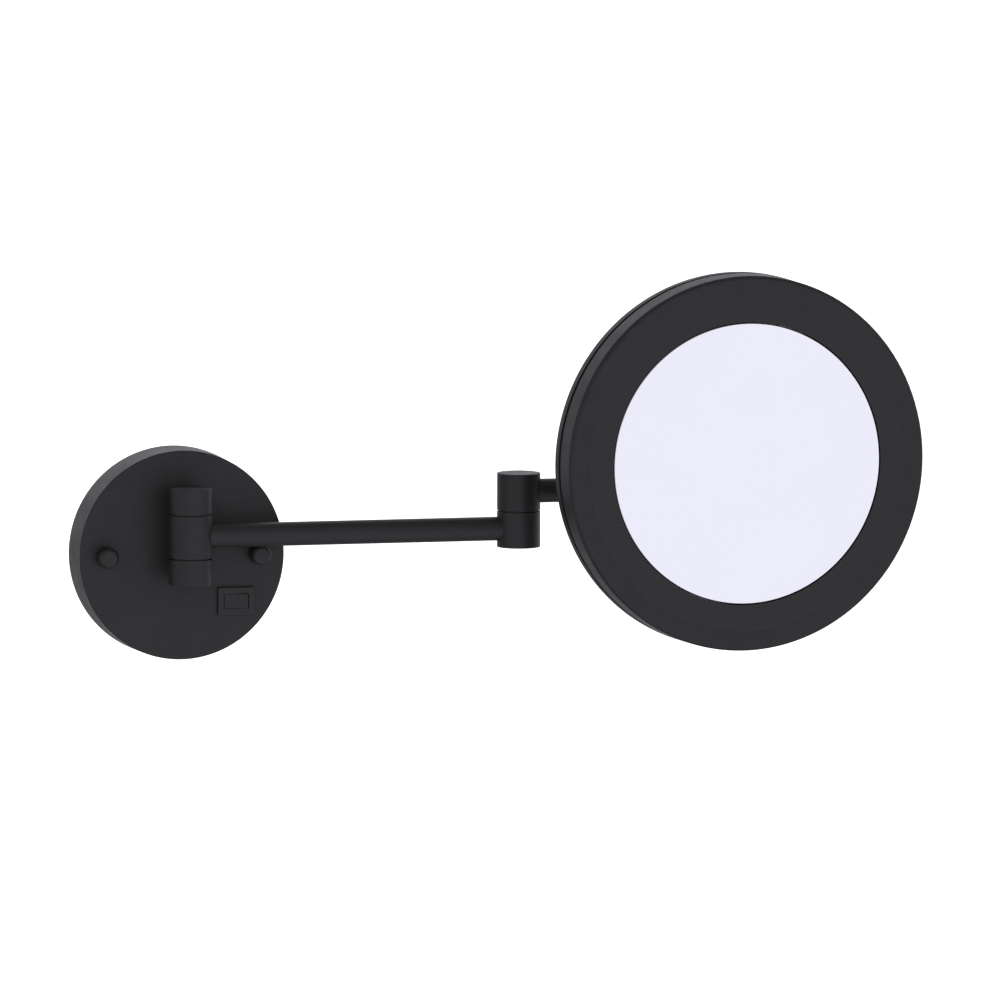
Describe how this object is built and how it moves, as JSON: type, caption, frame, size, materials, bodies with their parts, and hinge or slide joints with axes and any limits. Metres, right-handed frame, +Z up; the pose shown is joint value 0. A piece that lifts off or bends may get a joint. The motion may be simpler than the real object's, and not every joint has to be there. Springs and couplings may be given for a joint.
{
  "type": "extendable shaving mirror",
  "caption": "Round lighted shaving mirror on a folding tube arm with a round wall plate, cap nuts and a rocker switch; arm, elbow, swivel and tilt joints.",
  "frame": {"origin": "centre of the wall plate, on the wall plane", "axes": "+Y points into the wall, +Z up, +X along the extended arm"},
  "size_m": [0.4414, 0.1258, 0.2076],
  "materials": {
    "black_paint": "matt black powder coat",
    "black_plastic": "matt black moulded plastic",
    "rocker_plastic": "fine-grained black moulded plastic",
    "zinc_steel": "bright zinc plate",
    "black_steel": "black oxide screw steel",
    "washer_nylon": "black nylon",
    "foam": "closed-cell foam",
    "rubber": "moulded rubber",
    "driver_plastic": "white moulded plastic",
    "terminal_plastic": "natural nylon",
    "brass": "plain brass",
    "lead_sleeve": "soft white cable sleeve",
    "aluminium": "mill-finish sheet",
    "board": "white solder mask",
    "led": "phosphor-filled resin",
    "smoked_acrylic": "smoked satin acrylic",
    "mirror_glass": "silvered glass"
  },
  "bodies": {
    "wall_plate": {"wall_gasket": "foam", "wall_bracket": "zinc_steel", "bracket_studs": "zinc_steel", "plate_cover": "black_paint", "cap_nuts": "black_paint", "cable_grommet": "rubber", "led_driver": "driver_plastic", "driver_screws": "zinc_steel", "driver_lead": "lead_sleeve", "terminal_block": "terminal_plastic", "terminal_screws": "brass", "earth_screw": "brass", "switch_housing": "black_plastic", "switch_terminals": "brass", "backing_plate": "zinc_steel", "wall_knuckle_upper": "black_paint", "wall_knuckle_lower": "black_paint", "knuckle_nuts": "zinc_steel", "shoulder_pin": "black_steel", "shoulder_washers": "washer_nylon"},
    "rocker": {"switch_rocker": "rocker_plastic"},
    "arm": {"arm_knuckle": "black_paint", "arm_tube": "black_paint", "arm_lead": "lead_sleeve", "elbow_knuckle_lower": "black_paint", "elbow_pin": "black_steel", "elbow_washer": "washer_nylon"},
    "rod": {"elbow_knuckle_upper": "black_paint", "rod_tube": "black_paint", "rod_lead": "lead_sleeve", "swivel_knuckle_lower": "black_paint", "swivel_pin": "black_steel", "swivel_washer": "washer_nylon"},
    "swivel": {"swivel_knuckle_upper": "black_paint"},
    "head": {"tilt_clevis": "black_paint", "clevis_screws": "black_steel", "tilt_bolt": "black_steel", "tilt_washers": "washer_nylon", "tilt_nut": "black_steel", "stiffener_plate": "zinc_steel", "back_cover": "black_paint", "front_ring": "black_paint", "rim_screws": "black_steel", "diffuser_ring": "smoked_acrylic", "mirror_glass": "mirror_glass", "glass_pad": "foam", "carrier_plate": "aluminium", "carrier_screws": "zinc_steel", "led_board": "board", "leds": "led", "head_lead": "lead_sleeve"}
  },
  "joints": [
    {"name": "rocker_press", "type": "hinge", "parent": "wall_plate", "child": "rocker", "pos_m": [0.0293, -0.0254, -0.0251], "axis": [0, 0, 1], "range_deg": [0, 14]},
    {"name": "arm_swing", "type": "hinge", "parent": "wall_plate", "child": "arm", "pos_m": [0, -0.044, 0.0122], "axis": [0, 0, 1], "range_deg": [-180, 4]},
    {"name": "elbow_swing", "type": "hinge", "parent": "arm", "child": "rod", "pos_m": [0.179, -0.044, 0.0319], "axis": [0, 0, 1], "range_deg": [-80, 120]},
    {"name": "head_swivel", "type": "hinge", "parent": "rod", "child": "swivel", "pos_m": [0.2782, -0.044, 0.0516], "axis": [0, 0, 1], "range_deg": [-15, 80]},
    {"name": "head_tilt", "type": "hinge", "parent": "swivel", "child": "head", "pos_m": [0.28192, -0.07619, 0.0516], "axis": [0.9934, 0.1149, 0], "range_deg": [-30, 30]}
  ]
}
